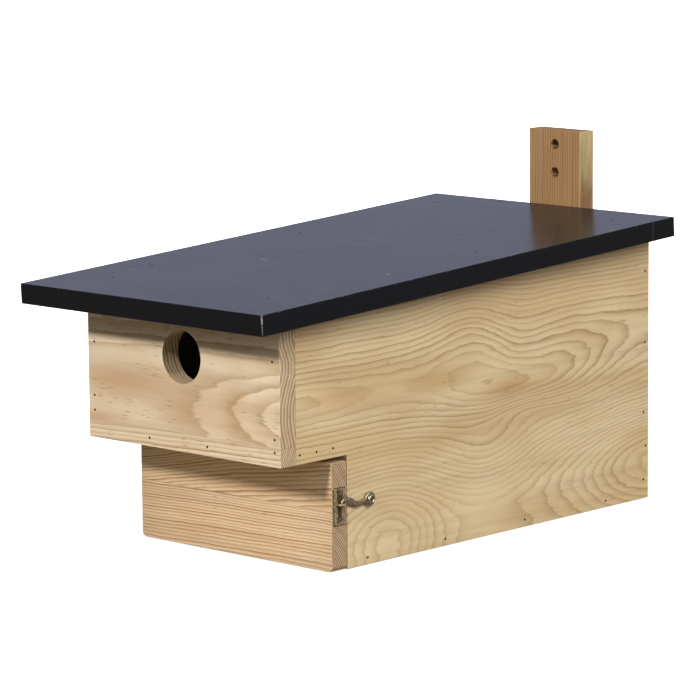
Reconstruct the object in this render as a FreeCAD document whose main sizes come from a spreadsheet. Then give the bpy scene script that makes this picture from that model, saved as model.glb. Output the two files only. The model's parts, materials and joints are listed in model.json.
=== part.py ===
import FreeCAD, Part
import math
import os
import re
import Sketcher
from FreeCAD import Placement, Rotation, Vector

# Marten-proof nest box in 13 mm pine.  +Z is up, the entrance faces -Y, +X is the latch side.
# The origin is at the bottom centre of the whole box, roof and batten included.

doc = FreeCAD.newDocument("nest_box")

# ---------------------------------------------------------------- driving dimensions (mm, degrees)
dims = {
    "box_width": 160,          # across the outer faces of the side walls
    "box_depth": 338,          # front board's face to the rear wall's face
    "board": 13,               # thickness of the wall boards
    "arris": 0.4,              # sanded edge of every board
    "nose_height": 68.2,       # underside of the protruding nose
    "door_setback": 42.4,      # door's face behind the front board's face
    "door_gap": 3.3,           # daylight between the door and the nose
    "door_corner": 3,          # rounded lower corners of the door
    "seam": 0.3,               # door to side walls
    "hole_radius": 16,         # entrance hole, 32 mm across
    "hole_height": 125,
    "roof_width": 201,
    "roof_thick": 12.4,
    "roof_slope": 3,           # the roof rises to the back
    "roof_reach": 35,          # roof's front edge ahead of the front board
    "roof_under": 150.9,       # height of the roof's lower front edge
    "batten_width": 43,
    "batten_thick": 13,
    "batten_top": 231.5,
    "batten_shift": 2,         # the batten sits a little to the latch side
    "batten_hole": 3.3,        # radius of the two hanging holes
    "batten_drop": 9.4,        # upper hanging hole below the batten's top
    "batten_pitch": 18.2,      # between the hanging holes
    "drain_radius": 3,
    "drain_inset": 30,         # drain holes in from the chamber's walls
    "leaf_thick": 0.8,         # small butt hinges
    "leaf_reach": 9.4,         # hinge axis to the leaf's far edge
    "leaf_height": 16,
    "knuckle": 1.5,            # barrel radius
    "hinge_stand": 1.9,        # hinge axis out from the wall
    "hinge_sweep": 2.2,        # room cleared around the other leaf's knuckles
    "hinge_pin": 0.8,
    "pin_bore": 0.86,
    "knuckle_gap": 0.3,
    "upper_hinge": 42,         # bottom edges of the two hinges
    "lower_hinge": 7,
    "plate_width": 9,          # catch plate on the door's end
    "plate_height": 22,
    "plate_low": 27.6,
    "plate_thick": 0.8,
    "plate_corner": 1.2,
    "staple_height": 40,
    "staple_wire": 0.7,
    "staple_span": 2.3,        # radius of the staple's bow
    "hook_pivot_y": -84.9,
    "hook_pivot_z": 39.8,
    "hook_eye": 4.8,           # outer radius of the hook's eye
    "hook_thick": 1.8,
    "hook_wire": 0.8,
    "hook_gap": 0.3,           # clearance on both faces of the eye
    "washer_thick": 1,
    "washer_radius": 3.6,
    "pivot_radius": 1.6,       # plain shank the eye turns on
    "eye_bore": 1.7,
}

# screws: up from a hinge leaf's bottom edge, and up the catch plate
screw_heights = (3.5, 12.5)
plate_screw_heights = ("plate_low + 2.6", "plate_low + plate_height - 2.6")

# places worked out from the driving dimensions
places = {
    "front_y": "(roof_reach - box_depth - batten_thick) / 2",
    "back_y": "(front_y + box_depth)",
    "inner_x": "(box_width / 2 - board)",
    "door_y": "(front_y + door_setback)",
    "wall_y": "(door_y + board + seam)",
    "door_top": "(nose_height - door_gap)",
    "nose_back": "(front_y + board)",
    "roof_y": "(front_y - roof_reach + roof_thick * sin(roof_slope))",
    "upper_hole": "(batten_top - batten_drop)",
    "hinge_x": "(-box_width / 2 - hinge_stand)",
    "hinge_y": "(wall_y - seam / 2)",
    "plate_y": "(door_y + board / 2 - 0.2)",
    "plate_face": "(box_width / 2 + plate_thick)",
    "eye_face": "(box_width / 2 + washer_thick + hook_gap)",
    "hook_x": "(eye_face + hook_thick / 2)",
}

sheet = doc.addObject("Spreadsheet::Sheet", "Dims")
for row, (alias, size) in enumerate(dims.items(), start=1):
    sheet.set("A%d" % row, alias)
    sheet.set("B%d" % row, str(size))
    sheet.setAlias("B%d" % row, alias)
doc.recompute()


def full(text):
    """Spell a short expression out: places become formulas and dimensions become cells."""
    text = str(text)
    while any(re.search(r"\b%s\b" % name, text) for name in places):
        for name, formula in places.items():
            text = re.sub(r"\b%s\b" % name, formula, text)
    return re.sub(r"[a-z]+(_[a-z]+)*", lambda word: cell_name(word.group()), text)


def cell_name(word):
    return "Dims." + word if word in dims else word


def value(text):
    return float(sheet.evalExpression(full(text)))


def roof_underside(y):
    """Height of the roof's underside at y, as an expression."""
    return "(roof_under + (%s - roof_y) * tan(roof_slope))" % y


# ---------------------------------------------------------------- helpers: sketches and features
def place(item, x, y, z, axis=(0, 0, 1), angle=0):
    item.Placement = Placement(Vector(value(x), value(y), value(z)), Rotation(Vector(*axis), angle))
    item.setExpression("Placement.Base.x", full(x))
    item.setExpression("Placement.Base.y", full(y))
    item.setExpression("Placement.Base.z", full(z))


def new_body(name):
    body = doc.addObject("PartDesign::Body", name)
    body.Label = name
    return body


def new_sketch(body, name, plane, offset):
    """A sketch on one of the body's own origin planes, moved along the plane's normal."""
    sketch = body.newObject("Sketcher::SketchObject", name)
    support = [item for item in body.Origin.OriginFeatures if item.Role == plane][0]
    sketch.AttachmentSupport = [(support, "")]
    sketch.MapMode = "FlatFace"
    sketch.AttachmentOffset = Placement(Vector(0, 0, value(offset)), Rotation())
    sketch.setExpression("AttachmentOffset.Base.z", full(offset))
    return sketch


def fix_point(sketch, geometry, end, u, v):
    """Tie a point of the sketch to two expressions measured from the sketch's origin."""
    for kind, text in (("DistanceX", u), ("DistanceY", v)):
        size = value(text)
        index = sketch.addConstraint(Sketcher.Constraint(kind, -1, 1, geometry, end, size))
        sketch.setExpression("Constraints[%d]" % index, full(text))


def add_outline(sketch, corners):
    """A closed outline of straight lines through (u, v) expression pairs."""
    points = [Vector(value(u), value(v), 0) for u, v in corners]
    first = sketch.GeometryCount
    count = len(points)
    for i in range(count):
        sketch.addGeometry(Part.LineSegment(points[i], points[(i + 1) % count]), False)
    for i in range(count):
        sketch.addConstraint(Sketcher.Constraint("Coincident", first + i, 2, first + (i + 1) % count, 1))
    for i, (u, v) in enumerate(corners):
        fix_point(sketch, first + i, 1, u, v)


def add_rectangle(sketch, u_low, u_high, v_low, v_high):
    add_outline(sketch, [(u_low, v_low), (u_high, v_low), (u_high, v_high), (u_low, v_high)])


def add_circle(sketch, u, v, radius):
    centre = Vector(value(u), value(v), 0)
    index = sketch.addGeometry(Part.Circle(centre, Vector(0, 0, 1), value(radius)), False)
    fix_point(sketch, index, 3, u, v)
    number = sketch.addConstraint(Sketcher.Constraint("Radius", index, value(radius)))
    sketch.setExpression("Constraints[%d]" % number, full(radius))


def extrude(body, kind, sketch, length, reverse=False, both=False):
    """Pad or Pocket a sketch; a pocket that removes nothing stops the script."""
    before = body.Shape.Volume if body.Tip else 0.0
    feature = body.newObject("PartDesign::" + kind, sketch.Name + "_" + kind.lower())
    feature.Profile = sketch
    feature.setExpression("Length", full(length))
    feature.Reversed = reverse
    if both:
        feature.Midplane = True
    doc.recompute()
    after = body.Shape.Volume
    if (after > before) != (kind == "Pad"):
        raise RuntimeError("%s on %s points away from the solid" % (kind, body.Label))
    return feature


def edges_where(shape, test):
    return ["Edge%d" % (i + 1) for i, edge in enumerate(shape.Edges) if test(edge)]


def round_edges(body, name, radius, test):
    base = body.Tip
    fillet = body.newObject("PartDesign::Fillet", name)
    fillet.Base = (base, edges_where(base.Shape, test))
    fillet.setExpression("Radius", full(radius))
    doc.recompute()
    return fillet


def is_straight(edge):
    return edge.Curve.TypeId == "Part::GeomLine"


def soften(body):
    """Sand the straight arrises of a board."""
    round_edges(body, body.Name + "_arris", "arris", is_straight)


def board_on_front(name, low, high, y, outline=None):
    """An upright board across the box: from x low[0] to high[0], z low[1] to high[1], face at y."""
    body = new_body(name)
    sketch = new_sketch(body, name + "_face", "XZ_Plane", "-(%s)" % y)
    add_rectangle(sketch, low[0], high[0], low[1], high[1])
    if outline:
        outline(sketch)
    extrude(body, "Pad", sketch, "board", reverse=True)
    return body


def board_flat(name, x_half, y_low, y_high, z_low, holes=()):
    body = new_body(name)
    sketch = new_sketch(body, name + "_plan", "XY_Plane", z_low)
    add_rectangle(sketch, "-" + x_half, x_half, y_low, y_high)
    for x, y, radius in holes:
        add_circle(sketch, x, y, radius)
    extrude(body, "Pad", sketch, "board")
    return body


# ---------------------------------------------------------------- helpers: primitives
def box(name, length, width, height):
    item = doc.addObject("Part::Box", name)
    for key, text in (("Length", length), ("Width", width), ("Height", height)):
        item.setExpression(key, full(text))
    return item


def cylinder(name, radius, height, x=0, y=0, z=0, axis=(0, 0, 1), angle=0):
    item = doc.addObject("Part::Cylinder", name)
    item.setExpression("Radius", full(radius))
    item.setExpression("Height", full(height))
    place(item, x, y, z, axis, angle)
    return item


def cone(name, low_radius, high_radius, height, x=0, y=0, z=0, axis=(0, 0, 1), angle=0):
    item = doc.addObject("Part::Cone", name)
    item.setExpression("Radius1", full(low_radius))
    item.setExpression("Radius2", full(high_radius))
    item.setExpression("Height", full(height))
    place(item, x, y, z, axis, angle)
    return item


def fuse(name, items):
    item = doc.addObject("Part::MultiFuse", name)
    item.Shapes = items
    item.Label = name
    return item


def cut(name, base, tools):
    item = doc.addObject("Part::Cut", name)
    item.Base = base
    item.Tool = tools[0] if len(tools) == 1 else fuse(name + "_tools", tools)
    item.Label = name
    return item


def group_of(name, master, spots):
    """Copies of one fastener as a single sub-part; each spot is x, y, z, axis, angle."""
    links = []
    for i, (x, y, z, axis, angle) in enumerate(spots):
        link = doc.addObject("App::Link", "%s_%d" % (name, i + 1))
        link.LinkedObject = master
        link.LinkTransform = True
        link.Placement = Placement(Vector(value(x), value(y), value(z)), Rotation(Vector(*axis), angle))
        links.append(link)
    item = doc.addObject("Part::Compound", name)
    item.Links = links
    item.Label = name
    return item


# ---------------------------------------------------------------- fasteners (heads up, shanks down -Z)
def brad(name, length=28):
    """A finishing nail: flush head, shank and point; its head stands 0.05 mm proud."""
    proud = 0.05
    head = cylinder(name + "_head", 0.75, 0.8, z=proud - 0.8)
    shank = cylinder(name + "_shank", 0.55, length - 3, z=3 - length)
    point = cone(name + "_point", 0.05, 0.55, 3, z=-length)
    return fuse(name, [head, shank, point])


def wood_screw(name, shank, head, length):
    """A countersunk screw with a cross recess; its top face is at z = 0."""
    cap = cone(name + "_cap", shank, head, "%s - %s" % (head, shank), z="%s - %s" % (shank, head))
    body = cylinder(name + "_shank", shank, "%s * 0.8" % length, z="-%s * 0.8" % length)
    point = cone(name + "_point", 0.05, shank, "%s * 0.2" % length, z="-%s" % length)
    return cut(name, fuse(name + "_blank", [cap, body, point]), cross_recess(name, head, 0))


def cross_recess(name, head, top):
    """Two crossed slots cut down from z = top."""
    reach = "%s * 1.1" % head
    slot = "%s * 0.24" % head
    depth = "%s * 0.45" % head
    first = box(name + "_slot_a", reach, slot, depth)
    second = box(name + "_slot_b", slot, reach, depth)
    place(first, "-%s / 2" % reach, "-%s / 2" % slot, "%s - %s" % (top, depth))
    place(second, "-%s / 2" % slot, "-%s / 2" % reach, "%s - %s" % (top, depth))
    return [first, second]


# ---------------------------------------------------------------- the wooden box
def side_wall(name, inner_face, outward):
    """L-shaped cheek: full height behind the door, nose only in front of it."""
    body = new_body(name)
    sketch = new_sketch(body, name + "_outline", "YZ_Plane", inner_face)
    add_outline(sketch, [
        ("nose_back", "nose_height"),
        ("wall_y", "nose_height"),
        ("wall_y", "0"),
        ("back_y", "0"),
        ("back_y", roof_underside("back_y")),
        ("nose_back", roof_underside("nose_back")),
    ])
    extrude(body, "Pad", sketch, "board", reverse=not outward)
    soften(body)
    return body


def front_board():
    top = roof_underside("front_y")
    body = board_on_front("front_board", ("-box_width / 2", "nose_height"), ("box_width / 2", top),
                          "front_y", lambda sketch: add_circle(sketch, "0", "hole_height", "hole_radius"))
    soften(body)
    return body


def rear_wall():
    inner = "back_y - board"
    body = board_on_front("rear_wall", ("-inner_x", "0"), ("inner_x", roof_underside("(" + inner + ")")), inner)
    soften(body)
    return body


def nose_floor():
    body = board_flat("nose_floor", "inner_x", "nose_back", "wall_y", "nose_height")
    soften(body)
    return body


def bottom_board():
    """Floor of the nest chamber with a drain hole near each corner."""
    x = "(inner_x - drain_inset)"
    near = "(wall_y + drain_inset)"
    far = "(back_y - board - drain_inset)"
    holes = [(side + x, y, "drain_radius") for side in ("", "-") for y in (near, far)]
    body = board_flat("bottom_board", "inner_x", "wall_y", "back_y - board", "0", holes)
    soften(body)
    return body


def roof_board():
    """Sloping board, built level and then tilted about its lower front edge."""
    body = new_body("roof_board")
    sketch = new_sketch(body, "roof_board_plan", "XY_Plane", "0")
    length = "((back_y - roof_y) / cos(roof_slope))"
    add_rectangle(sketch, "-roof_width / 2", "roof_width / 2", "0", length)
    extrude(body, "Pad", sketch, "roof_thick")
    soften(body)
    place(body, "0", "roof_y", "roof_under", (1, 0, 0), value("roof_slope"))
    body.setExpression("Placement.Rotation.Angle", full("roof_slope * 1 deg"))
    return body


def front_door():
    """Set-back door that covers the side walls' front edges, latched on its right end."""
    body = board_on_front("front_door", ("-box_width / 2", "0"), ("box_width / 2", "door_top"), "door_y")
    corner_z = 0.01

    def is_lower_corner(edge):
        along_y = abs(edge.Vertexes[0].Y - edge.Vertexes[-1].Y) > value("board") - 1
        return along_y and abs(edge.CenterOfMass.z) < corner_z

    round_edges(body, "front_door_corners", "door_corner", is_lower_corner)
    round_edges(body, "front_door_arris", "arris", lambda edge: True)
    return body


def mounting_batten():
    body = new_body("mounting_batten")
    sketch = new_sketch(body, "mounting_batten_face", "XZ_Plane", "-back_y")
    left = "batten_shift - batten_width / 2"
    right = "batten_shift + batten_width / 2"
    add_rectangle(sketch, left, right, "0", "batten_top")
    add_circle(sketch, "batten_shift", "upper_hole", "batten_hole")
    add_circle(sketch, "batten_shift", "upper_hole - batten_pitch", "batten_hole")
    extrude(body, "Pad", sketch, "batten_thick", reverse=True)
    soften(body)
    return body


# ---------------------------------------------------------------- brads and screws in the wood
def roof_brads(nail):
    """Heads follow the roof's slope; the front pair hold the front board."""
    slope = value("roof_slope")
    edge_x = value("box_width / 2 - board / 2")
    heads = [(-64, -152), (66, -152), (-edge_x, -110), (edge_x, -110), (-edge_x, 20), (edge_x, 20)]
    heads += [(-edge_x, 150), (edge_x, 150), (-40, 173), (40, 173)]
    top = roof_underside("%f") + " + roof_thick / cos(roof_slope)"
    spots = [(x, y, top % y, (1, 0, 0), slope) for x, y in heads]
    return group_of("roof_brads", nail, spots)


def front_brads(nail):
    heads = [(-75, 85), (-75, 94), (-74.5, 126.5), (75.5, 77), (75.5, 84.5), (74.2, 129.8), (-28, 73.5), (20.4, 73.8)]
    spots = [(x, "front_y", z, (1, 0, 0), 90) for x, z in heads]
    return group_of("front_board_brads", nail, spots)


def side_brads(name, nail, heads):
    """The same heads on both side walls."""
    spots = [("box_width / 2", y, z, (0, 1, 0), 90) for y, z in heads]
    spots += [("-box_width / 2", y, z, (0, 1, 0), -90) for y, z in heads]
    return group_of(name, nail, spots)


def batten_screws():
    """Two countersunk screws through the batten into the rear wall, driven from behind."""
    screw = wood_screw("batten_screw", 2, 3.8, 24)
    back = "back_y + batten_thick"
    spots = [("batten_shift", back, z, (1, 0, 0), -90) for z in (35, 135)]
    return group_of("batten_screws", screw, spots)


# ---------------------------------------------------------------- door hinges on the left end
def hinge_leaf(name, base_z, side, own_knuckles, other_knuckles):
    """A flat leaf with its rolled knuckles; side -1 lies on the door, +1 on the side wall."""
    plate = box(name + "_plate", "leaf_thick", "leaf_reach", "leaf_height")
    place(plate, "hinge_stand - leaf_thick", "-leaf_reach" if side < 0 else "0", "0")
    barrels = [cylinder("%s_knuckle_%d" % (name, i + 1), "knuckle", top + " - " + low, z=low)
               for i, (low, top) in enumerate(own_knuckles)]
    rooms = [cylinder("%s_room_%d" % (name, i + 1), "hinge_sweep", "%s - %s + 2 * knuckle_gap" % (top, low),
                      z="%s - knuckle_gap" % low) for i, (low, top) in enumerate(other_knuckles)]
    bore = cylinder(name + "_bore", "pin_bore", "leaf_height + 2", z="-1")
    seats = [cone("%s_seat_%d" % (name, i + 1), 1.7, 0.8, "leaf_thick", "hinge_stand - leaf_thick",
                  side * 6.2, z, (0, 1, 0), 90) for i, z in enumerate(screw_heights)]
    leaf = cut(name, fuse(name + "_blank", [plate] + barrels), rooms + [bore] + seats)
    place(leaf, "hinge_x", "hinge_y", base_z)
    return leaf



def hinge(name, base_z):
    """A three-knuckle butt hinge: the door's leaf has the middle knuckle."""
    third = "leaf_height / 3"
    low = ("0", "(%s - knuckle_gap / 2)" % third)
    middle = ("(%s + knuckle_gap / 2)" % third, "(2 * %s - knuckle_gap / 2)" % third)
    high = ("(2 * %s + knuckle_gap / 2)" % third, "leaf_height")
    door_leaf = hinge_leaf(name + "_hinge_door_leaf", base_z, -1, [middle], [low, high])
    wall_leaf = hinge_leaf(name + "_hinge_wall_leaf", base_z, 1, [low, high], [middle])
    pin = fuse(name + "_hinge_pin", [
        cylinder(name + "_pin_shank", "hinge_pin", "leaf_height + 0.6", z="-0.3"),
        cylinder(name + "_pin_cap", "knuckle - 0.2", "0.5", z="leaf_height + 0.15"),
    ])
    place(pin, "hinge_x", "hinge_y", base_z)
    return [door_leaf, wall_leaf, pin]


def hinge_screws(name, screw, side):
    spots = [("hinge_x + hinge_stand - leaf_thick", "hinge_y + %f" % (side * 6.2), "%s + %f" % (base_z, z),
              (0, 1, 0), -90) for base_z in ("lower_hinge", "upper_hinge") for z in screw_heights]
    return group_of(name, screw, spots)


# ---------------------------------------------------------------- hook latch on the right side
def catch_plate():
    """Thin plate with rounded corners and two countersunk screw holes."""
    body = new_body("catch_plate")
    sketch = new_sketch(body, "catch_plate_outline", "YZ_Plane", "box_width / 2")
    half = "plate_width / 2"
    top = "plate_low + plate_height"
    add_rectangle(sketch, "plate_y - " + half, "plate_y + " + half, "plate_low", top)
    extrude(body, "Pad", sketch, "plate_thick")
    round_edges(body, "catch_plate_corners", "plate_corner",
                lambda edge: is_straight(edge) and edge.Length < value("plate_thick") + 0.01)
    holes = new_sketch(body, "catch_plate_holes", "YZ_Plane", "plate_face")
    for z in plate_screw_heights:
        add_circle(holes, "plate_y", z, 1.1)
    extrude(body, "Pocket", holes, "plate_thick")
    return body


def catch_staple():
    """A U of wire standing out of the catch plate; the hook drops through it."""
    leg = "4"
    arms = [cylinder("staple_leg_%d" % i, "staple_wire", leg, "plate_face - 2.8", "plate_y + %d * staple_span" % side,
                     "staple_height", (0, 1, 0), 90) for i, side in enumerate((-1, 1), start=1)]
    bow = doc.addObject("Part::Torus", "staple_bow")
    bow.setExpression("Radius1", full("staple_span"))
    bow.setExpression("Radius2", full("staple_wire"))
    bow.Angle3 = 180
    place(bow, "plate_face + 1.2", "plate_y", "staple_height", (0, 0, 1), -90)
    return fuse("catch_staple", arms + [bow])


def hook_washer():
    ring = cylinder("washer_disc", "washer_radius", "washer_thick")
    bore = cylinder("washer_bore", "eye_bore", "washer_thick")
    washer = cut("hook_washer", ring, [bore])
    place(washer, "box_width / 2", "hook_pivot_y", "hook_pivot_z", (0, 1, 0), 90)
    return washer


def hook_screw():
    """Round-headed screw that the hook turns on; its thread runs into the side wall."""
    under_head = "washer_thick + 2 * hook_gap + hook_thick"
    shank = cylinder("hook_screw_shank", "pivot_radius", under_head + " + 8", z="-8")
    point = cone("hook_screw_point", 0.1, "pivot_radius", 3, z="-11")
    dome = doc.addObject("Part::Sphere", "hook_screw_dome")
    dome.Radius = 3.2
    place(dome, 0, 0, under_head + " - 1.2")
    rim = cylinder("hook_screw_rim", 2.9, 1.9, z=under_head)
    head = doc.addObject("Part::Common", "hook_screw_head")
    head.Base = dome
    head.Tool = rim
    recess = cross_recess("hook_screw", 2.9, under_head + " + 2")
    screw = cut("hook_screw", fuse("hook_screw_blank", [shank, point, head]), recess)
    place(screw, "box_width / 2", "hook_pivot_y", "hook_pivot_z", (0, 1, 0), 90)
    return screw


def hook_arm():
    """Bent wire hook with a flattened eye, drawn latched: it dips, humps and drops through the staple."""
    body = new_body("hook_arm")
    eye = new_sketch(body, "hook_eye_outline", "YZ_Plane", "eye_face")
    add_circle(eye, "hook_pivot_y", "hook_pivot_z", "hook_eye")
    extrude(body, "Pad", eye, "hook_thick")
    path = new_sketch(body, "hook_path", "YZ_Plane", "hook_x")
    wire_path(path, [
        ("hook_pivot_y - 2.8", "hook_pivot_z - 0.4"),
        ("hook_pivot_y - 13", "hook_pivot_z - 2.6"),
        ("hook_pivot_y - 17.6", "staple_height + 2.4"),
        ("plate_y + 0.6", "staple_height + 2.4"),
        ("plate_y", "staple_height - 2.8"),
    ], bend=1.7)
    section = new_sketch(body, "hook_section", "XZ_Plane", "-(hook_pivot_y - 2.8)")
    add_circle(section, "hook_x", "hook_pivot_z - 0.4", "hook_wire")
    arm = body.newObject("PartDesign::AdditivePipe", "hook_arm_pipe")
    arm.Profile = section
    arm.Spine = (path, [])
    doc.recompute()
    bore = new_sketch(body, "hook_eye_bore", "YZ_Plane", "eye_face")
    add_circle(bore, "hook_pivot_y", "hook_pivot_z", "eye_bore")
    extrude(body, "Pocket", bore, "hook_thick", reverse=True)
    return body


def wire_path(sketch, corners, bend):
    """Straight runs through the corners, joined by tangent arcs of the bend radius."""
    points = [Vector(value(u), value(v), 0) for u, v in corners]
    start = points[0]
    for before, corner, after in zip(points, points[1:], points[2:]):
        into = (corner - before).normalize()
        out = (after - corner).normalize()
        half_turn = into.getAngle(out) / 2
        reach = bend * math.tan(half_turn)
        inward = (out - into).normalize()
        entry = corner - into * reach
        leave = corner + out * reach
        middle = corner + inward * (bend / math.cos(half_turn) - bend)
        sketch.addGeometry(Part.LineSegment(start, entry), False)
        sketch.addGeometry(Part.Arc(entry, middle, leave), False)
        start = leave
    sketch.addGeometry(Part.LineSegment(start, points[-1]), False)
    for i in range(sketch.GeometryCount - 1):
        join_ends(sketch, i, i + 1)
    for i in range(sketch.GeometryCount):
        sketch.addConstraint(Sketcher.Constraint("Block", i))


def join_ends(sketch, first, second):
    """Make two neighbouring pieces of a path share their common end."""
    gap = 1e-6
    for a in (1, 2):
        for b in (1, 2):
            if sketch.getPoint(first, a).distanceToPoint(sketch.getPoint(second, b)) < gap:
                sketch.addConstraint(Sketcher.Constraint("Coincident", first, a, second, b))


# ---------------------------------------------------------------- build, check and write
def build_parts():
    nail = brad("brad")
    small_screw = wood_screw("small_screw", 0.8, 1.7, 8)
    plate_screw = wood_screw("plate_screw", 0.9, 1.7, 9)
    parts = [
        side_wall("left_side_wall", "-inner_x", False),
        side_wall("right_side_wall", "inner_x", True),
        front_board(),
        rear_wall(),
        nose_floor(),
        bottom_board(),
        roof_board(),
        front_door(),
        mounting_batten(),
        roof_brads(nail),
        front_brads(nail),
        side_brads("nose_floor_brads", nail, [(-142, 73.8), (-128, 73.8), (-114, 74)]),
        side_brads("rear_wall_brads", nail, [(176, 147), (176, 101), (175, 56), (177, 34), (175, 12.3)]),
        side_brads("bottom_board_brads", nail, [(-85, 4.3), (-16, 4.3), (58, 4.5), (137, 4.2)]),
        batten_screws(),
        hinge_screws("hinge_door_screws", small_screw, -1),
        hinge_screws("hinge_wall_screws", small_screw, 1),
        catch_plate(),
        catch_staple(),
        group_of("catch_plate_screws", plate_screw,
                 [("plate_face", "plate_y", z, (0, 1, 0), 90) for z in plate_screw_heights]),
        hook_washer(),
        hook_arm(),
        hook_screw(),
    ]
    parts += hinge("upper", "upper_hinge")
    parts += hinge("lower", "lower_hinge")
    return parts


def check(parts):
    for item in doc.Objects:
        if "Invalid" in item.State or "Error" in item.State:
            raise RuntimeError("%s failed: %s" % (item.Label, item.State))
    for part in parts:
        if part.Shape.isNull() or not part.Shape.isValid():
            raise RuntimeError("%s has no valid shape" % part.Label)


parts = build_parts()
doc.recompute()
check(parts)
os.makedirs("parts", exist_ok=True)
for part in parts:
    part.Shape.exportStep("parts/%s.step" % part.Label)
    print("%-22s %d solid(s) %12.2f mm3" % (part.Label, len(part.Shape.Solids), part.Shape.Volume))
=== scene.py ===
import json
import math

import bpy
from mathutils import Matrix, Vector


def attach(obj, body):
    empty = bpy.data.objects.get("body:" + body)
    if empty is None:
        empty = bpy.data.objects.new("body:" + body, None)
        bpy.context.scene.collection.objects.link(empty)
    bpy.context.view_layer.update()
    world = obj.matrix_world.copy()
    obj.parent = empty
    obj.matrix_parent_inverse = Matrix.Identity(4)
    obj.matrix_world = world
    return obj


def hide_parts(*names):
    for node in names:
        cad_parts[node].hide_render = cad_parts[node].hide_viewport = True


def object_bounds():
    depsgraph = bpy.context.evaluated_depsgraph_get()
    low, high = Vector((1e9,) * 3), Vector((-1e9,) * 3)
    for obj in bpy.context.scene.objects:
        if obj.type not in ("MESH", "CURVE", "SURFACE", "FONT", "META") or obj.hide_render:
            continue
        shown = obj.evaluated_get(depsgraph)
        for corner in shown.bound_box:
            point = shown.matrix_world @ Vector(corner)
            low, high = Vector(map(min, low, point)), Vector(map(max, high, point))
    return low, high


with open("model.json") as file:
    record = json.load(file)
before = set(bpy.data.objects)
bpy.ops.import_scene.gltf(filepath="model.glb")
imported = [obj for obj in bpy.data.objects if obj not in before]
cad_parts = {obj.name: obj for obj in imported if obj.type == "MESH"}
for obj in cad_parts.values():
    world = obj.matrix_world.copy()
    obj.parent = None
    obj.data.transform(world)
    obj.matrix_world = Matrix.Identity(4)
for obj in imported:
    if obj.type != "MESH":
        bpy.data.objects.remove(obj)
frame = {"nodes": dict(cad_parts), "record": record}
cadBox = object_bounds()
nodes = frame["nodes"]
print("frame loaded:", len(nodes), "nodes")


# small helpers for shader trees

def newMaterial(name):
    material = bpy.data.materials.new(name)
    material.use_nodes = True
    tree = material.node_tree
    return material, tree, tree.nodes["Principled BSDF"]


def feed(tree, socket, source):
    # a node's output is linked, anything else is set as the socket's own value
    if isinstance(source, bpy.types.NodeSocket):
        tree.links.new(source, socket)
    elif source is not None:
        socket.default_value = source


def calc(tree, operation, first, second=None, third=None, clamp=False):
    node = tree.nodes.new("ShaderNodeMath")
    node.operation = operation
    node.use_clamp = clamp
    for socket, source in zip(node.inputs, (first, second, third)):
        feed(tree, socket, source)
    return node.outputs[0]


def vectorOf(tree, x, y, z):
    node = tree.nodes.new("ShaderNodeCombineXYZ")
    for socket, source in zip(node.inputs, (x, y, z)):
        feed(tree, socket, source)
    return node.outputs[0]


def noiseOf(tree, vector, scale=1.0, detail=2.0, roughness=0.5):
    node = tree.nodes.new("ShaderNodeTexNoise")
    feed(tree, node.inputs["Vector"], vector)
    feed(tree, node.inputs["Scale"], scale)
    feed(tree, node.inputs["Detail"], detail)
    feed(tree, node.inputs["Roughness"], roughness)
    return node.outputs["Fac"]


def spread(tree, value, low, high, toLow=0.0, toHigh=1.0):
    # smooth step from low..high to toLow..toHigh
    node = tree.nodes.new("ShaderNodeMapRange")
    node.interpolation_type = "SMOOTHSTEP"
    for socket, source in zip(node.inputs, (value, low, high, toLow, toHigh)):
        feed(tree, socket, source)
    return node.outputs[0]


def blendColour(tree, amount, first, second, mode="MIX"):
    node = tree.nodes.new("ShaderNodeMix")
    node.data_type = "RGBA"
    node.blend_type = mode
    feed(tree, node.inputs["Factor"], amount)
    for socket, source in ((node.inputs["A"], first), (node.inputs["B"], second)):
        feed(tree, socket, (*source, 1.0) if isinstance(source, tuple) else source)
    return node.outputs["Result"]


def millimetres(tree):
    # the piece's own coordinates in millimetres, as x, y and z
    coordinates = tree.nodes.new("ShaderNodeTexCoord")
    split = tree.nodes.new("ShaderNodeSeparateXYZ")
    tree.links.new(coordinates.outputs["Object"], split.inputs[0])
    return {axis: calc(tree, "MULTIPLY", split.outputs[axis.upper()], 1000.0) for axis in "xyz"}


def bumpFrom(tree, shader, height, strength, distance):
    node = tree.nodes.new("ShaderNodeBump")
    node.inputs["Strength"].default_value = strength
    node.inputs["Distance"].default_value = distance
    feed(tree, node.inputs["Height"], height)
    tree.links.new(node.outputs["Normal"], shader.inputs["Normal"])


# pine is a log's growth rings, which every board cuts in its own place

def hump(tree, along, across, spot):
    # a soft hill, given by its middle along and across the grain, length, width and height
    middleAlong, middleAcross, length, width, height = spot
    u = calc(tree, "DIVIDE", calc(tree, "SUBTRACT", along, middleAlong), length)
    v = calc(tree, "DIVIDE", calc(tree, "SUBTRACT", across, middleAcross), width)
    squares = calc(tree, "MULTIPLY_ADD", u, u, calc(tree, "MULTIPLY", v, v))
    fall = calc(tree, "EXPONENT", calc(tree, "MULTIPLY", squares, -1.0))
    return calc(tree, "MULTIPLY", fall, height)


def ringsFromPith(tree, along, across, depth, log):
    # distance from the log's centre line, counted in rings
    tilted = calc(tree, "MULTIPLY_ADD", along, -log["tilt"], -log["pith"][0])
    u = calc(tree, "ADD", across, tilted)
    v = calc(tree, "SUBTRACT", depth, log["pith"][1])
    radius = calc(tree, "SQRT", calc(tree, "MULTIPLY_ADD", u, u, calc(tree, "MULTIPLY", v, v)))
    return calc(tree, "DIVIDE", radius, log["pitch"])


def stretched(tree, along, across, depth, alongScale, acrossScale):
    # coordinates for a noise that is drawn out along the grain
    return vectorOf(tree, calc(tree, "MULTIPLY", along, alongScale),
                    calc(tree, "MULTIPLY", across, acrossScale),
                    calc(tree, "MULTIPLY", depth, acrossScale))


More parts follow.
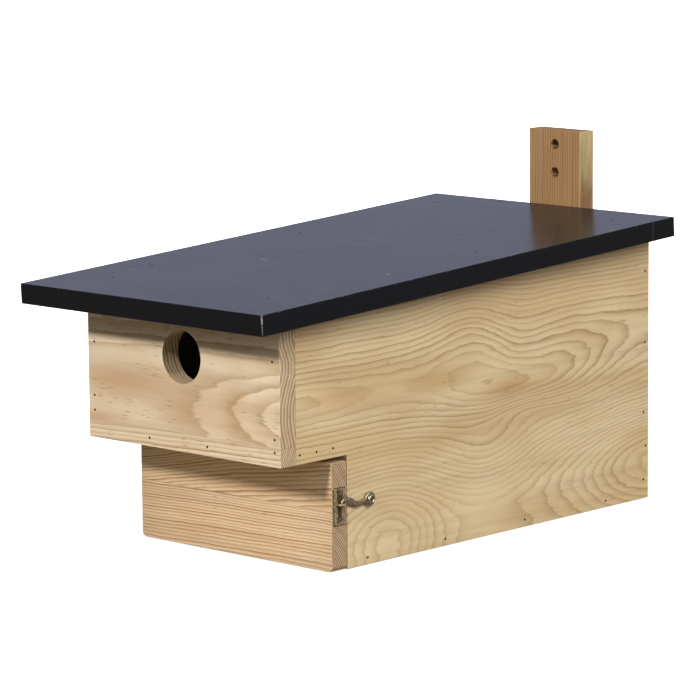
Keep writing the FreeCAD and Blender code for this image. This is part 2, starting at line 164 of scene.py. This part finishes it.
# each noise's scale along the grain, then across it
grainNoise = {"sway": (0.011, 0.02), "ripple": (0.05, 0.22), "canals": (0.02, 0.07), "fibres": (0.035, 2.0),
              "streaks": (0.006, 0.16), "patches": (0.012, 0.03), "pores": (1.6, 1.6)}

# finish that all the pine shares; a shade is a slope and a start
pineLook = {"yearSpread": 0.6, "yearLeast": 0.45, "lineEnd": 0.9, "endContrast": 1.3,
            "fibreShade": (0.28, 0.86), "poreShade": (0.5, -0.47), "glueShade": 0.82, "canalShade": 0.7,
            "roughness": 0.6, "specular": 0.3, "fibreRelief": 0.35, "ringRelief": 0.6,
            "bump": 0.35, "bumpDepth": 0.0003}


def ringCount(tree, along, across, depth, board):
    count = ringsFromPith(tree, along, across, depth, board)
    for spot in board.get("humps", ()):
        count = calc(tree, "ADD", count, hump(tree, along, across, spot))
    if "strip" in board:
        # a glued-on strip of another log, below its edge
        below = calc(tree, "LESS_THAN", across, board["strip"]["edge"])
        other = ringsFromPith(tree, along, across, depth, board["strip"])
        count = calc(tree, "MULTIPLY_ADD", below, calc(tree, "SUBTRACT", other, count), count)
    sway = noiseOf(tree, stretched(tree, along, across, board["seed"], *grainNoise["sway"]), detail=2.0)
    ripple = noiseOf(tree, stretched(tree, along, across, depth, *grainNoise["ripple"]), detail=3.0)
    count = calc(tree, "MULTIPLY_ADD", sway, board["sway"], count)
    return calc(tree, "MULTIPLY_ADD", ripple, board["ripple"], count)


def resinCanals(tree, along, across, depth, board):
    # short dark dashes along the grain, in a share of the cells
    cells = tree.nodes.new("ShaderNodeTexVoronoi")
    dashes = stretched(tree, along, across, depth, board["dash"], board["dashAcross"])
    feed(tree, cells.inputs["Vector"], dashes)
    feed(tree, cells.inputs["Scale"], 1.0)
    dash = spread(tree, cells.outputs["Distance"], 0.12, 0.3, 1.0, 0.0)
    chance = tree.nodes.new("ShaderNodeSeparateColor")
    tree.links.new(cells.outputs["Color"], chance.inputs[0])
    drift = noiseOf(tree, stretched(tree, along, across, depth, *grainNoise["canals"]), detail=1.0)
    share = spread(tree, drift, 0.4, 0.7, 0.0, board["canals"] * 2.0)
    return calc(tree, "MULTIPLY", dash, calc(tree, "LESS_THAN", chance.outputs[0], share))


def endGrain(tree, board):
    # 1 on the faces that cut across the grain
    coordinates = tree.nodes.new("ShaderNodeTexCoord")
    split = tree.nodes.new("ShaderNodeSeparateXYZ")
    tree.links.new(coordinates.outputs["Normal"], split.inputs[0])
    facing = calc(tree, "ABSOLUTE", split.outputs[board["grain"][0].upper()])
    return spread(tree, facing, 0.55, 0.8)


def pineMaterial(name, board):
    material, tree, shader = newMaterial(name)
    place = millimetres(tree)
    along, across, depth = (place[axis] for axis in board["grain"])
    count = ringCount(tree, along, across, depth, board)
    end = endGrain(tree, board)

    # each ring darkens slowly and ends in a sharper late-wood line, stronger in some years
    phase = calc(tree, "FRACT", count)
    year = tree.nodes.new("ShaderNodeTexWhiteNoise")
    year.noise_dimensions = "1D"
    feed(tree, year.inputs["W"], calc(tree, "ADD", calc(tree, "FLOOR", count), board["seed"]))
    strength = calc(tree, "MULTIPLY_ADD", year.outputs["Value"], pineLook["yearSpread"],
                    pineLook["yearLeast"])
    slow = calc(tree, "POWER", phase, board["soft"])
    cutOff = spread(tree, phase, pineLook["lineEnd"], 1.0, 1.0, 0.0)
    lateWood = calc(tree, "MULTIPLY", calc(tree, "MULTIPLY", slow, cutOff), strength)
    for spot in board.get("calm", ()):
        # the lines fade out here
        rest = calc(tree, "SUBTRACT", 1.0, hump(tree, along, across, spot))
        lateWood = calc(tree, "MULTIPLY", lateWood, rest)

    drawn = {name: stretched(tree, along, across, depth, *grainNoise[name])
             for name in ("fibres", "streaks", "patches", "pores")}
    fibres = noiseOf(tree, drawn["fibres"], detail=3.0, roughness=0.6)
    streaks = noiseOf(tree, drawn["streaks"])
    patches = noiseOf(tree, drawn["patches"], detail=1.0)
    pores = noiseOf(tree, drawn["pores"], roughness=0.7)

    colour = blendColour(tree, spread(tree, patches, 0.35, 0.65), board["pale"], board["warm"])
    for spot in board.get("flush", ()):
        colour = blendColour(tree, hump(tree, along, across, spot), colour, board["flushColour"])
    colour = blendColour(tree, calc(tree, "MULTIPLY", spread(tree, streaks, 0.4, 0.75), board["streaks"]),
                         colour, board["late"])
    contrast = calc(tree, "MULTIPLY_ADD", end, pineLook["endContrast"], board["contrast"])
    colour = blendColour(tree, calc(tree, "MULTIPLY", lateWood, contrast, clamp=True), colour, board["late"])
    fibreShade = calc(tree, "MULTIPLY_ADD", fibres, *pineLook["fibreShade"])
    poreShade = calc(tree, "MULTIPLY_ADD", pores, *pineLook["poreShade"])
    endShade = calc(tree, "MULTIPLY_ADD", end, poreShade, 1.0)
    shade = calc(tree, "MULTIPLY", fibreShade, endShade)
    if "strip" in board:
        glueGap = calc(tree, "ABSOLUTE", calc(tree, "SUBTRACT", across, board["strip"]["edge"]))
        glueLine = spread(tree, glueGap, 0.1, 0.35, pineLook["glueShade"], 1.0)
        shade = calc(tree, "MULTIPLY", shade, glueLine)
    colour = blendColour(tree, 1.0, colour, vectorOf(tree, shade, shade, shade), "MULTIPLY")
    canals = calc(tree, "MULTIPLY", resinCanals(tree, along, across, depth, board), pineLook["canalShade"])
    colour = blendColour(tree, canals, colour, board["canalColour"])
    feed(tree, shader.inputs["Base Color"], colour)
    shader.inputs["Roughness"].default_value = pineLook["roughness"]
    shader.inputs["Specular IOR Level"].default_value = pineLook["specular"]
    ringRelief = calc(tree, "MULTIPLY", lateWood, pineLook["ringRelief"])
    relief = calc(tree, "MULTIPLY_ADD", fibres, pineLook["fibreRelief"], ringRelief)
    bumpFrom(tree, shader, relief, pineLook["bump"], pineLook["bumpDepth"])
    return material


# what most boards share; a board's own entries win
plainBoard = {"tilt": 0.0, "sway": 5.0, "ripple": 0.5, "soft": 2.6, "contrast": 1.0, "streaks": 0.25,
              "canals": 0.05, "dash": 0.12, "dashAcross": 1.3, "canalColour": (0.16, 0.09, 0.04),
              "pale": (0.67, 0.54, 0.32), "warm": (0.61, 0.45, 0.245), "late": (0.33, 0.21, 0.09)}

# grain gives the along, across and depth axes; pith is where the log's centre runs, across and in depth
boards = {
    "right_side_wall": {
        "grain": "yzx", "pith": (103.0, 104.0), "pitch": 2.5, "sway": 1.1, "ripple": 0.8, "seed": 3.0,
        "soft": 2.8, "contrast": 1.15,
        "humps": ((-150, 103, 66, 14, -1.9), (46, 90, 66, 16, -3.6), (190, 96, 75, 26, 4.6),
                  (7, 135, 34, 30, -2.8), (57, 118, 30, 30, 1.8), (57, 73, 36, 9, 2.3),
                  (20, -25, 500, 44, -22.0), (-66, 4, 40, 40, 6.4), (188, 30, 80, 36, 9.5),
                  (22, 50, 44, 24, -4.6)),
        "calm": ((-40, 100, 110, 12, 0.6), (20, 14, 40, 20, 0.7), (-70, 10, 40, 30, 0.4),
                 (60, 40, 130, 30, 0.3)),
        "flush": ((-105, 103, 26, 6, 0.6), (-18, 102, 28, 5, 0.8), (45, 90, 24, 7, 1.0),
                  (-25, 66, 60, 9, 0.45)),
        "flushColour": (0.52, 0.33, 0.15),
    },
    "left_side_wall": {"grain": "yzx", "pith": (70.0, -45.0), "pitch": 3.3, "tilt": 0.06, "seed": 11.0},
    "front_board": {
        "grain": "xzy", "pith": (92.0, -400.0), "pitch": 2.6, "sway": 0.6, "ripple": 0.6, "seed": 5.0,
        "humps": ((120, 97, 92, 26, 4.6), (60, 128, 110, 14, -1.2), (-70, 90, 70, 26, 0.6),
                  (-20, 140, 200, 12, 1.5)),
        "strip": {"edge": 79.5, "pith": (149.0, -281.0), "pitch": 1.5, "tilt": 0.03},
        "pale": (0.82, 0.69, 0.51), "warm": (0.75, 0.59, 0.4), "late": (0.42, 0.27, 0.125),
        "soft": 1.6, "contrast": 1.35, "canals": 0.34, "dash": 0.08,
        "flush": ((-52, 105, 46, 10, 0.85), (2, 92, 24, 9, 0.6), (-84, 81, 34, 4, 0.8),
                  (44, 96, 8, 22, 0.4)),
        "flushColour": (0.58, 0.37, 0.195),
    },
    "front_door": {
        "grain": "xzy", "pith": (2.0, -173.0), "pitch": 1.6, "tilt": 0.14, "sway": 1.5, "ripple": 0.7,
        "seed": 7.0, "humps": ((-110, 78, 70, 32, 9),),
        "strip": {"edge": 36.0, "pith": (-27.0, -159.0), "pitch": 1.4, "tilt": 0.02},
        "pale": (0.67, 0.515, 0.325), "warm": (0.62, 0.455, 0.27), "late": (0.3, 0.16, 0.07),
        "contrast": 1.5, "soft": 1.8,
    },
    "rear_wall": {"grain": "xzy", "pith": (60.0, 220.0), "pitch": 3.2, "tilt": 0.02, "seed": 13.0},
    "nose_floor": {"grain": "xyz", "pith": (-190.0, 60.0), "pitch": 2.9, "tilt": 0.01, "seed": 17.0},
    "bottom_board": {"grain": "yxz", "pith": (20.0, -34.0), "pitch": 3.2, "tilt": 0.04, "seed": 19.0},
    "mounting_batten": {
        "grain": "zxy", "pith": (-150.0, 187.0), "pitch": 2.1, "tilt": 0.01, "sway": 1.5, "seed": 23.0,
        "pale": (0.42, 0.265, 0.125), "warm": (0.37, 0.215, 0.09), "late": (0.19, 0.09, 0.034),
        "contrast": 1.2, "soft": 1.4,
        "flush": ((200, 24.2, 500, 1.2, 1.0),), "flushColour": (0.86, 0.82, 0.42),
    },
}


def dress(node, material):
    meshData = nodes[node].data
    meshData.materials.clear()
    meshData.materials.append(material)


for boardName, board in boards.items():
    dress(boardName, pineMaterial("pine_" + boardName, {**plainBoard, **board}))
print("boards dressed:", len(boards))


# roof: satin anthracite paint, worn at the edges

roofLook = {"paint": (0.008, 0.0085, 0.0105), "scuff": (0.045, 0.045, 0.05), "chip": (0.3, 0.29, 0.27),
            "roughness": 0.16, "gloss": 0.12, "tint": (0.78, 0.78, 1.0),
            "halfWidth": 100.5, "frontEdge": -193.0, "rearEdge": 193.0, "frontTop": 163.3, "slope": 0.0524,
            "rearGroove": 158.0, "brush": (0.02, 0.5), "cloud": (0.01, 0.012)}

# small marks in the paint: (x, y, length, width, brightness)
roofMarks = ((-27, -61, 3, 0.5, 0.2), (76, -61, 2, 0.5, 0.25), (32.7, -36, 4, 0.6, 0.08),
             (71, -108, 4, 0.6, 0.08), (-72, -126, 3, 0.6, 0.1))


def roofWear(tree, place):
    # scuffs along the top's edges and a chip at its front right corner, both with a ragged limit
    look = roofLook
    side = calc(tree, "SUBTRACT", look["halfWidth"], calc(tree, "ABSOLUTE", place["x"]))
    front = calc(tree, "SUBTRACT", place["y"], look["frontEdge"])
    rear = calc(tree, "SUBTRACT", look["rearEdge"], place["y"])
    nearest = calc(tree, "MINIMUM", side, calc(tree, "MINIMUM", front, rear))
    topPlane = calc(tree, "MULTIPLY_ADD", front, look["slope"], look["frontTop"])
    below = calc(tree, "ABSOLUTE", calc(tree, "SUBTRACT", topPlane, place["z"]))
    fromEdge = calc(tree, "ADD", nearest, below)
    corner = calc(tree, "ADD", front, calc(tree, "SUBTRACT", look["halfWidth"], place["x"]))
    point = vectorOf(tree, place["x"], place["y"], place["z"])
    rough = noiseOf(tree, point, scale=0.35, detail=4.0, roughness=0.7)
    scuff = calc(tree, "MULTIPLY", spread(tree, fromEdge, 0.2, 1.2, 1.0, 0.0), spread(tree, rough, 0.52, 0.7))
    chip = calc(tree, "MULTIPLY", spread(tree, corner, 0.4, 1.1, 1.0, 0.0), spread(tree, rough, 0.36, 0.6))
    return scuff, chip


def roofMaterial():
    material, tree, shader = newMaterial("roof_paint")
    place = millimetres(tree)
    strokes = stretched(tree, place["x"], place["y"], place["z"], *roofLook["brush"])
    brush = noiseOf(tree, strokes, detail=4.0, roughness=0.6)
    cloudX, cloudY = (calc(tree, "MULTIPLY", place[axis], scale)
                      for axis, scale in zip("xy", roofLook["cloud"]))
    cloud = noiseOf(tree, vectorOf(tree, cloudX, cloudY, 0.0))
    scuff, chip = roofWear(tree, place)
    colour = blendColour(tree, scuff, roofLook["paint"], roofLook["scuff"])
    colour = blendColour(tree, chip, colour, roofLook["chip"])
    for x, y, length, width, tone in roofMarks:
        mark = hump(tree, place["x"], place["y"], (x, y, length, width, 1.0))
        colour = blendColour(tree, mark, colour, (tone, tone, tone))
    fromGroove = calc(tree, "ABSOLUTE", calc(tree, "SUBTRACT", place["y"], roofLook["rearGroove"]))
    colour = blendColour(tree, spread(tree, fromGroove, 0.3, 1.0, 0.4, 0.0), colour, roofLook["scuff"])
    feed(tree, shader.inputs["Base Color"], colour)
    rough = calc(tree, "MULTIPLY_ADD", brush, 0.1, roofLook["roughness"])
    feed(tree, shader.inputs["Roughness"], calc(tree, "MULTIPLY_ADD", cloud, 0.05, rough))
    shader.inputs["Specular IOR Level"].default_value = roofLook["gloss"]
    shader.inputs["Specular Tint"].default_value = (*roofLook["tint"], 1.0)
    groove = spread(tree, fromGroove, 0.2, 1.2, -0.8, 0.0)
    bumpFrom(tree, shader, calc(tree, "ADD", brush, groove), 0.15, 0.0004)
    return material


dress("roof_board", roofMaterial())
print("roof painted")


# metals

def metalMaterial(name, look):
    material, tree, shader = newMaterial(name)
    place = millimetres(tree)
    point = vectorOf(tree, place["x"], place["y"], place["z"])
    stain = noiseOf(tree, point, scale=look["grainScale"], detail=4.0, roughness=0.65)
    colour = blendColour(tree, spread(tree, stain, 0.35, 0.65), look["dark"], look["bright"])
    feed(tree, shader.inputs["Base Color"], colour)
    shader.inputs["Metallic"].default_value = look["metallic"]
    shader.inputs["Specular IOR Level"].default_value = look.get("specular", 0.5)
    feed(tree, shader.inputs["Roughness"], calc(tree, "MULTIPLY_ADD", stain, 0.25, look["roughness"]))
    bumpFrom(tree, shader, stain, 0.25, 0.0002)
    return material


metals = {
    "pale_screw": {"dark": (0.2, 0.16, 0.1), "bright": (0.55, 0.5, 0.4), "metallic": 1.0,
                   "roughness": 0.3, "grainScale": 0.8},
    "antique_brass": {"dark": (0.17, 0.13, 0.075), "bright": (0.4, 0.33, 0.21), "metallic": 0.85,
                      "roughness": 0.36, "grainScale": 0.7},
    "worn_brass": {"dark": (0.19, 0.14, 0.07), "bright": (0.42, 0.325, 0.18), "metallic": 0.5,
                   "roughness": 0.4, "grainScale": 0.4},
    "brad_steel": {"dark": (0.014, 0.008, 0.004), "bright": (0.06, 0.03, 0.014), "metallic": 0.0,
                   "roughness": 0.9, "specular": 0.0, "grainScale": 1.2},
    # dark_brass is painted shade in the pivot screw's head, and partly painted shade on the catch plate's
    # dark back
    "dark_brass": {"dark": (0.022, 0.014, 0.005), "bright": (0.075, 0.052, 0.02), "metallic": 0.1,
                   "roughness": 0.6, "grainScale": 0.5},
    "screw_steel": {"dark": (0.4, 0.39, 0.36), "bright": (0.6, 0.58, 0.54), "metallic": 1.0,
                    "roughness": 0.3, "grainScale": 0.8},
}
metalFor = {name: metalMaterial(name, look) for name, look in metals.items()}
for part in frame["record"]["subparts"]:
    if part["material_slot"] in metalFor:
        dress(part["node"], metalFor[part["material_slot"]])
print("metals dressed")


# catch plate and hook, cast with soft edges, in place of their plain solids

latchLook = {"plateFace": 80.0, "plateThick": 0.35, "rimThick": 0.75, "plateY": -109.3, "plateWidth": 9.0,
             "plateLow": 27.6, "plateHigh": 49.6, "plateCorner": 0.9, "slotHigh": 48.3, "slotLow": 30.6,
             "slotTop": 4.8, "slotNeck": 3.2, "slotRound": 2.1, "backMargin": 0.45,
             "backEdge": 0.08, "rimEdge": 0.22, "gap": 0.02, "pivotY": -84.9, "pivotZ": 39.8,
             "eyeFace": 81.3, "eyeThick": 1.5, "eyeOuter": 4.4, "eyeBore": 1.7, "armX": 82.1, "armSteps": 5,
             "recessDepth": 3.4, "recessRadius": 1.5, "recessThick": 0.15, "pinhole": 0.05}

# the hook's line from the eye to the tip: (y, z, half width, half thickness)
hookLine = ((-88.1, 39.6, 2.1, 0.8), (-91.2, 39.0, 1.8, 0.75), (-94.3, 38.5, 1.7, 0.75),
            (-97.2, 38.6, 1.8, 0.75), (-99.6, 39.8, 2.0, 0.75), (-102.0, 41.1, 2.1, 0.75),
            (-105.0, 42.0, 1.9, 0.75), (-107.7, 42.3, 1.3, 0.8), (-109.1, 40.9, 0.85, 0.75),
            (-109.3, 38.9, 0.75, 0.7), (-109.1, 37.4, 0.6, 0.6))


def meshPiece(name, verts, faces, material, body, smooth=True):
    # points come in millimetres
    meshData = bpy.data.meshes.new(name)
    meshData.from_pydata([[value / 1000 for value in vert] for vert in verts], [], faces)
    meshData.materials.append(material)
    for polygon in meshData.polygons:
        polygon.use_smooth = smooth
    piece = bpy.data.objects.new(name, meshData)
    bpy.context.collection.objects.link(piece)
    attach(piece, body)
    return piece


def between(a, b, c, d, t):
    # a smooth value from b to c, steered by a before them and d after them
    return 0.5 * (2 * b + (c - a) * t + (2 * a - 5 * b + 4 * c - d) * t * t
                  + (3 * b - a - 3 * c + d) * t ** 3)


def smoothLine(points, steps):
    # a curve through every point
    line = []
    padded = (points[0], *points, points[-1])
    for before, start, end, after in zip(padded, padded[1:], padded[2:], padded[3:]):
        for step in range(steps):
            line.append([between(*four, step / steps) for four in zip(before, start, end, after)])
    line.append(list(points[-1]))
    return line


def sweptArm(line, x, sides=16):
    # an oval section carried along the line, closed at both ends
    verts = []
    faces = []
    for index, (y, z, width, thick) in enumerate(line):
        nearby = line[min(index + 1, len(line) - 1)], line[max(index - 1, 0)]
        run = Vector((nearby[0][0] - nearby[1][0], nearby[0][1] - nearby[1][1])).normalized()
        for side in range(sides):
            turn = 2 * math.pi * side / sides
            across = math.cos(turn) * width
            verts.append((x + math.sin(turn) * thick, y - run.y * across, z + run.x * across))
    for ring in range(len(line) - 1):
        for side in range(sides):
            following = (side + 1) % sides
            faces.append((ring * sides + side, ring * sides + following,
                          (ring + 1) * sides + following, (ring + 1) * sides + side))
    faces.append(tuple(range(sides))[::-1])
    faces.append(tuple(range(len(verts) - sides, len(verts))))
    return verts, faces


def turnedRing(profile, y, z, sides=48):
    # a closed (radius, x) profile turned about the X axis through y and z
    verts = []
    for side in range(sides):
        turn = 2 * math.pi * side / sides
        verts.extend((x, y + math.cos(turn) * radius, z + math.sin(turn) * radius) for radius, x in profile)
    count = len(profile)
    faces = [(side * count + spot, side * count + (spot + 1) % count,
              (side + 1) % sides * count + (spot + 1) % count, (side + 1) % sides * count + spot)
             for side in range(sides) for spot in range(count)]
    return verts, faces


def joined(shapes):
    verts = []
    faces = []
    for shapeVerts, shapeFaces in shapes:
        offset = len(verts)
        verts.extend(shapeVerts)
        faces.extend(tuple(index + offset for index in face) for face in shapeFaces)
    return verts, faces


def eyeProfile(look):
    # flat faces with well rounded edges
    low = look["eyeFace"]
    high = low + look["eyeThick"]
    bore = look["eyeBore"]
    outer = look["eyeOuter"]
    return ((bore, low + 0.3), (bore + 0.4, low), (outer - 0.7, low), (outer - 0.15, low + 0.4),
            (outer, low + 0.9), (outer - 0.15, high - 0.4), (outer - 0.7, high), (bore + 0.9, high),
            (bore + 0.2, high - 0.25), (bore, high - 0.6))


# the pivot screw's profile, with a pinhole on its axis: (radius, distance from the wall)
screwProfile = ((0.05, -11.0), (1.6, -8.0), (1.6, 2.9), (2.9, 2.9), (2.9, 3.4), (2.6, 3.9), (2.1, 4.2),
                (1.7, 4.2), (1.5, 3.2), (0.05, 3.2))


def makePivotScrew():
    look = latchLook
    profile = [(radius, look["plateFace"] + out) for radius, out in screwProfile]
    verts, faces = turnedRing(profile, look["pivotY"], look["pivotZ"])
    screw = meshPiece("hook_screw_turned", verts, faces, metalFor["pale_screw"], "box")
    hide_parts("hook_screw")
    # painted shade: a dark disc at the bottom of the hollow in the head, standing in for the shade there
    high = look["plateFace"] + look["recessDepth"]
    low = high - look["recessThick"]
    disc = ((look["pinhole"], high), (look["recessRadius"], high), (look["recessRadius"], low),
            (look["pinhole"], low))
    verts, faces = turnedRing(disc, look["pivotY"], look["pivotZ"])
    shadeDisc = meshPiece("hook_screw_painted_shade", verts, faces, metalFor["dark_brass"], "box",
                       smooth=False)
    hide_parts("hook_screw")


def makeHook():
    look = latchLook
    arm = sweptArm(smoothLine(hookLine, look["armSteps"]), look["armX"])
    eye = turnedRing(eyeProfile(look), look["pivotY"], look["pivotZ"])
    verts, faces = joined([arm, eye])
    hook = meshPiece("hook_cast", verts, faces, metalFor["antique_brass"], "hook")
    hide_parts("hook_arm")


def roundedOutline(width, low, high, corner, steps=5):
    corners = ((width / 2 - corner, high - corner, 0), (corner - width / 2, high - corner, 90),
               (corner - width / 2, low + corner, 180), (width / 2 - corner, low + corner, 270))
    return [(u + corner * math.cos(math.radians(start + 90 * step / steps)),
             v + corner * math.sin(math.radians(start + 90 * step / steps)))
            for u, v, start in corners for step in range(steps + 1)]


def keyholeOutline(look, steps=14):
    # wide at the top, narrowing to a neck, with a round end below
    half = look["slotTop"] / 2
    radius = look["slotRound"]
    neck = look["slotNeck"] / 2
    opening = math.asin(neck / radius)
    outline = [(half, look["slotHigh"]), (-half, look["slotHigh"])]
    for step in range(steps + 1):
        turn = math.pi / 2 + opening + (2 * math.pi - 2 * opening) * step / steps
        outline.append((radius * math.cos(turn), look["slotLow"] + radius * math.sin(turn)))
    return outline


def flatCurve(name, outlines, thick, bevel, material):
    # filled outlines in y and z with a soft edge, standing out along +X from x = 0
    curve = bpy.data.curves.new(name, "CURVE")
    curve.dimensions = "2D"
    curve.fill_mode = "BOTH"
    curve.extrude = (thick / 2 - bevel) / 1000
    curve.bevel_depth = bevel / 1000
    curve.bevel_resolution = 2
    curve.offset = -bevel / 1000
    for outline in outlines:
        spline = curve.splines.new("POLY")
        spline.points.add(len(outline) - 1)
        for point, (u, v) in zip(spline.points, outline):
            point.co = (u / 1000, v / 1000, 0.0, 1.0)
        spline.use_cyclic_u = True
    curve.materials.append(material)
    return bpy.data.objects.new(name, curve)


def standOnWall(piece, x, y):
    # the curve's own x, y and z become the frame's y, z and x
    piece.matrix_world = Matrix.Translation((x / 1000, y / 1000, 0.0)) @ Matrix(
        ((0, 0, 1, 0), (1, 0, 0, 0), (0, 1, 0, 0), (0, 0, 0, 1)))


def makePlate():
    look = latchLook
    outline = roundedOutline(look["plateWidth"], look["plateLow"], look["plateHigh"], look["plateCorner"])
    margin = look["backMargin"]
    wider = roundedOutline(look["plateWidth"] + 2 * margin, look["plateLow"] - margin,
                           look["plateHigh"] + margin, look["plateCorner"])
    # the dark back shows through the keyhole and as a thin dark rim round the plate: partly the slot's darker
    # brass, partly painted shade of the slot and of the plate's edge
    shadedBack = flatCurve("catch_plate_back_and_shade", [wider], look["plateThick"], look["backEdge"],
                     metalFor["dark_brass"])
    rim = flatCurve("catch_plate_rim", [outline, keyholeOutline(look)], look["rimThick"], look["rimEdge"],
                    metalFor["worn_brass"])
    for piece, depth in ((shadedBack, look["plateThick"]), (rim, look["rimThick"])):
        bpy.context.collection.objects.link(piece)
        standOnWall(piece, look["plateFace"] + depth / 2 + look["gap"], look["plateY"])
        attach(piece, "door")
        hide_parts("catch_plate")


makeHook()
makePivotScrew()
makePlate()
dress("catch_staple", metalFor["worn_brass"])
dress("catch_plate_screws", metalFor["pale_screw"])
print("latch shaped")


# floor, light and camera

studio = {"floorSize": 12.0, "floorColour": (0.9, 0.9, 0.9), "floorGlow": 0.55, "floorGap": 0.0005,
          "sky": (0.86, 0.9, 1.2), "underSky": (1.0, 0.84, 0.6),
          "horizon": 0.58, "front": 0.38, "overhead": 0.09, "below": 0.26,
          "skyline": (-0.04, 0.04), "backdrop": (-0.1, 0.5), "ceiling": (0.28, 0.7)}

# azimuth is measured from the front towards the right side
sun = {"azimuth": 5.0, "elevation": 31.0, "strength": 2.75, "angle": 7.0, "colour": (1.0, 0.98, 0.95)}
side = {"place": (2.3, -0.35, 1.6), "size": 1.9, "power": 73.0, "colour": (1.0, 0.99, 0.96)}

# light that the floor throws up under the nose
under = {"place": (0.0, -0.15, 0.003), "aim": (0.0, -0.12, 0.09), "size": 0.15, "depth": 0.03, "power": 0.013,
         "colour": (1.0, 0.86, 0.66)}

# soft light on the back and the left side, with no glint of its own
rear = {"place": (-1.6, 2.0, 1.1), "size": 1.6, "power": 45.0, "colour": (1.0, 0.98, 0.95)}


def makeFloor():
    half = studio["floorSize"] / 2
    meshData = bpy.data.meshes.new("floor")
    corners = [(-half, -half, 0), (half, -half, 0), (half, half, 0), (-half, half, 0)]
    meshData.from_pydata(corners, [], [(0, 1, 2, 3)])
    floor = bpy.data.objects.new("floor", meshData)
    bpy.context.collection.objects.link(floor)
    material, tree, shader = newMaterial("pale_floor")
    shader.inputs["Base Color"].default_value = (*studio["floorColour"], 1.0)
    shader.inputs["Roughness"].default_value = 0.9
    shader.inputs["Emission Color"].default_value = (1.0, 1.0, 1.0, 1.0)
    shader.inputs["Emission Strength"].default_value = studio["floorGlow"]
    meshData.materials.append(material)
    floor.location.z = cadBox[0][2] - studio["floorGap"]
    # the floor stays white to look at, but throws no light back up into the shadows
    floor.visible_diffuse = False
    floor.visible_glossy = False


def makeSky():
    world = bpy.data.worlds.new("studio_sky")
    world.use_nodes = True
    tree = world.node_tree
    background = tree.nodes["Background"]
    coordinates = tree.nodes.new("ShaderNodeTexCoord")
    split = tree.nodes.new("ShaderNodeSeparateXYZ")
    tree.links.new(coordinates.outputs["Generated"], split.inputs[0])
    height = split.outputs["Z"]
    above = spread(tree, height, *studio["skyline"])
    feed(tree, background.inputs["Color"], blendColour(tree, above, studio["underSky"], studio["sky"]))
    # the backdrop behind is brighter than the room in front
    inFront = studio["horizon"] * studio["front"]
    horizon = spread(tree, split.outputs["Y"], *studio["backdrop"], inFront, studio["horizon"])
    upper = spread(tree, height, *studio["ceiling"], horizon, studio["overhead"])
    rise = calc(tree, "SUBTRACT", upper, studio["below"])
    strength = calc(tree, "MULTIPLY_ADD", above, rise, studio["below"])
    feed(tree, background.inputs["Strength"], strength)
    bpy.context.scene.world = world


def directionFrom(azimuth, elevation):
    azimuth = math.radians(azimuth)
    elevation = math.radians(elevation)
    return Vector((math.sin(azimuth) * math.cos(elevation), -math.cos(azimuth) * math.cos(elevation),
                   math.sin(elevation)))


def addLight(name, kind, place, strength, colour):
    data = bpy.data.lights.new(name, kind)
    data.energy = strength
    data.color = colour
    light = bpy.data.objects.new(name, data)
    bpy.context.collection.objects.link(light)
    light.location = place
    light.rotation_euler = Vector(place).to_track_quat("Z", "Y").to_euler()
    return data


def makeLights():
    fromSun = directionFrom(sun["azimuth"], sun["elevation"])
    key = addLight("key", "SUN", fromSun, sun["strength"], sun["colour"])
    key.angle = math.radians(sun["angle"])
    fill = addLight("side_light", "AREA", side["place"], side["power"], side["colour"])
    fill.shape = "DISK"
    fill.size = side["size"]
    bounce = addLight("bounce", "AREA", under["place"], under["power"], under["colour"])
    bounce.shape = "RECTANGLE"
    bounce.size = under["size"]
    bounce.size_y = under["depth"]
    lamp = bpy.data.objects["bounce"]
    lamp.rotation_euler = (Vector(under["place"]) - Vector(under["aim"])).to_track_quat("Z", "Y").to_euler()
    lamp.visible_camera = False
    backFill = addLight("rear_light", "AREA", rear["place"], rear["power"], rear["colour"])
    backFill.shape = "DISK"
    backFill.size = rear["size"]
    bpy.data.objects["rear_light"].visible_glossy = False


view = {"azimuth": 43.12, "elevation": 9.142, "roll": -0.495, "distance": 2.2453,
        "lookAt": (0.04854, -0.06691, 0.12405), "lens": 195.22, "sensor": 36.0, "farClip": 50.0}


def makeCamera():
    back = directionFrom(view["azimuth"], view["elevation"])
    data = bpy.data.cameras.new("camera")
    data.lens = view["lens"]
    data.sensor_width = view["sensor"]
    data.clip_end = view["farClip"]
    camera = bpy.data.objects.new("camera", data)
    bpy.context.collection.objects.link(camera)
    turn = back.to_track_quat("Z", "Y").to_matrix() @ Matrix.Rotation(math.radians(view["roll"]), 3, "Z")
    camera.matrix_world = Matrix.Translation(Vector(view["lookAt"]) + back * view["distance"]) @ turn.to_4x4()
    bpy.context.scene.camera = camera


makeFloor()
makeSky()
makeLights()
makeCamera()
bpy.context.scene.view_settings.view_transform = "Standard"
print("studio ready")
